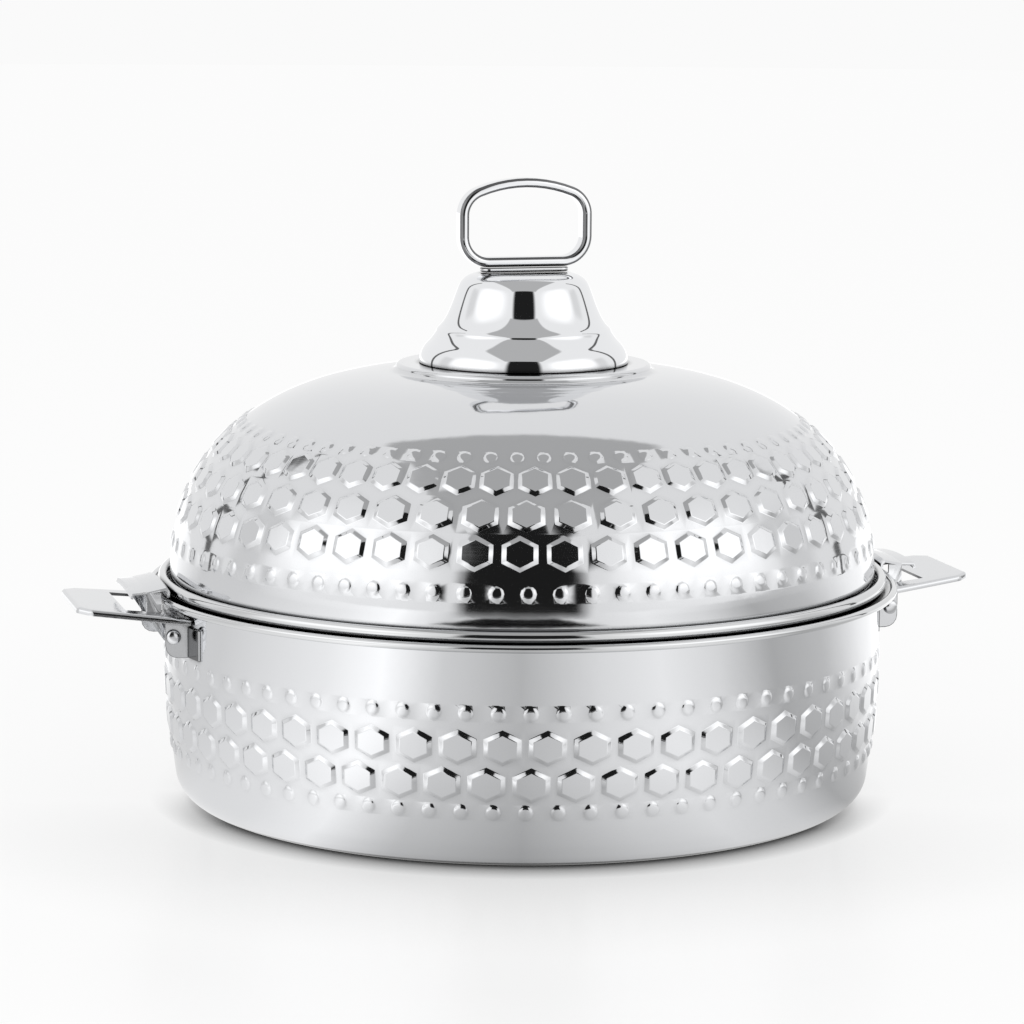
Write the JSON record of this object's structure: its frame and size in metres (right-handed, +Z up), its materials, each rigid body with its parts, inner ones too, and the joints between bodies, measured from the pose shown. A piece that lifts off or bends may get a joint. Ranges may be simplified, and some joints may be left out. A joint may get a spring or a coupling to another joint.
{
  "type": "insulated casserole",
  "caption": "Round insulated stainless steel casserole for flat breads: double-walled bowl and lift-off lid, bell knob with ring handle, side handles with sprung lid clips.",
  "frame": {"origin": "middle of the resting face, under the bowl's axis", "axes": "+Z up along the bowl's axis, +X towards the right handle, +Y to the rear, away from the camera that looks at the front"},
  "size_m": [0.369, 0.3028, 0.2487],
  "materials": {
    "shell_steel": "polished and satin stainless steel sheet",
    "bowl_steel": "satin stainless steel sheet",
    "knob_steel": "mirror-polished stainless steel",
    "fitting_steel": "polished stainless steel",
    "spring_steel": "drawn spring wire",
    "foam": "rigid foamed-in-place insulation",
    "plug": "matt moulded plastic"
  },
  "bodies": {
    "bowl": {"outer_shell": "shell_steel", "inner_bowl": "bowl_steel", "body_insulation": "foam", "foam_fill_plug": "plug", "right_handle_plate": "fitting_steel", "right_front_ear": "fitting_steel", "right_rear_ear": "fitting_steel", "right_clip_pin": "fitting_steel", "right_clip_spring": "spring_steel", "left_handle_plate": "fitting_steel", "left_front_ear": "fitting_steel", "left_rear_ear": "fitting_steel", "left_clip_pin": "fitting_steel", "left_clip_spring": "spring_steel"},
    "lid": {"lid_shell": "shell_steel", "lid_liner": "bowl_steel", "lid_insulation": "foam", "knob_bell": "knob_steel", "knob_nut": "fitting_steel", "knob_washer": "fitting_steel", "knob_bolt": "fitting_steel", "knob_saddle": "knob_steel", "ring_handle": "knob_steel"},
    "right_clip": {"right_clip": "fitting_steel"},
    "left_clip": {"left_clip": "fitting_steel"}
  },
  "joints": [
    {"name": "lid_lift", "type": "slide", "parent": "bowl", "child": "lid", "axis": [0, 0, 1], "range_m": [0, 0.12]},
    {"name": "right_clip_press", "type": "hinge", "parent": "bowl", "child": "right_clip", "pos_m": [0.148, 0, 0.074], "axis": [0, 1, 0], "range_deg": [0, 13], "stiffness_Nm_per_rad": 0.1, "springref_deg": -20.05, "deforming": ["right_clip_spring"]},
    {"name": "left_clip_press", "type": "hinge", "parent": "bowl", "child": "left_clip", "pos_m": [-0.148, 0, 0.074], "axis": [0, -1, 0], "range_deg": [0, 13], "stiffness_Nm_per_rad": 0.1, "springref_deg": -20.05, "deforming": ["left_clip_spring"]}
  ]
}
